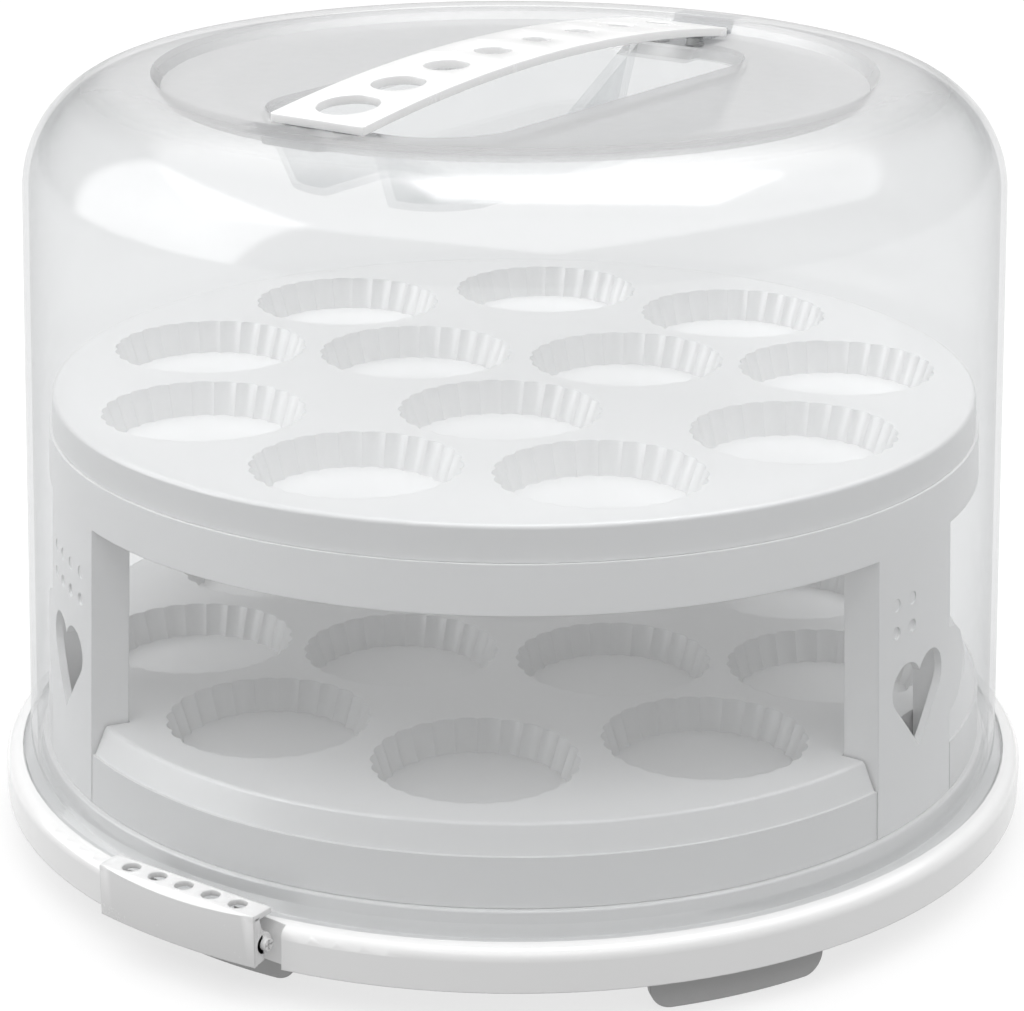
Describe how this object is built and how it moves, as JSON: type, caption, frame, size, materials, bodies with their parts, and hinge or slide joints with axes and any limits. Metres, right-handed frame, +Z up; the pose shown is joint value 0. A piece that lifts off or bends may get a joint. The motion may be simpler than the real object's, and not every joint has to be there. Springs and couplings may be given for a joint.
{
  "type": "two-tier cake carrier",
  "caption": "Round two-tier cake and cupcake carrier with fluted muffin wells, a legged stand, a clear lift-off dome, a carrying strap and hinged side latches.",
  "frame": {"origin": "on the table, under the middle of the base", "axes": "+Z up along the dome's axis, +Y along the carrying handle from the front latch to the back latch"},
  "size_m": [0.345, 0.3548, 0.2594],
  "materials": {
    "base_white": "white gloss polypropylene",
    "tray_white": "white satin polypropylene",
    "stand_white": "white satin polypropylene",
    "dome_clear": "clear polished plastic",
    "handle_white": "white gloss plastic",
    "latch_white": "white gloss plastic",
    "pin_white": "white plastic",
    "foot_grey": "grey non-slip elastomer"
  },
  "bodies": {
    "base": {"base_tray": "base_white", "foot_1": "foot_grey", "foot_2": "foot_grey", "foot_3": "foot_grey", "foot_4": "foot_grey", "foot_5": "foot_grey", "foot_6": "foot_grey", "latch_pin_front": "pin_white", "latch_pin_back": "pin_white"},
    "front_latch": {"latch_front": "latch_white"},
    "back_latch": {"latch_back": "latch_white"},
    "lower_tier": {"lower_tray": "tray_white"},
    "stand": {"leg_stand": "stand_white"},
    "upper_tier": {"upper_tray": "tray_white"},
    "lid": {"dome_lid": "dome_clear", "carry_handle": "handle_white"}
  },
  "joints": [
    {"name": "front_latch_hinge", "type": "hinge", "parent": "base", "child": "front_latch", "pos_m": [0, -0.1705, 0.021], "axis": [1, 0, 0], "range_deg": [0, 55]},
    {"name": "back_latch_hinge", "type": "hinge", "parent": "base", "child": "back_latch", "pos_m": [0, 0.1705, 0.021], "axis": [-1, 0, 0], "range_deg": [0, 55]},
    {"name": "lower_tray_lift", "type": "slide", "parent": "base", "child": "lower_tier", "axis": [0, 0, 1], "range_m": [0, 0.05]},
    {"name": "stand_lift", "type": "slide", "parent": "lower_tier", "child": "stand", "axis": [0, 0, 1], "range_m": [0, 0.05]},
    {"name": "upper_tray_lift", "type": "slide", "parent": "stand", "child": "upper_tier", "axis": [0, 0, 1], "range_m": [0, 0.03]},
    {"name": "lid_lift", "type": "slide", "parent": "upper_tier", "child": "lid", "axis": [0, 0, 1], "range_m": [0, 0.15]}
  ]
}
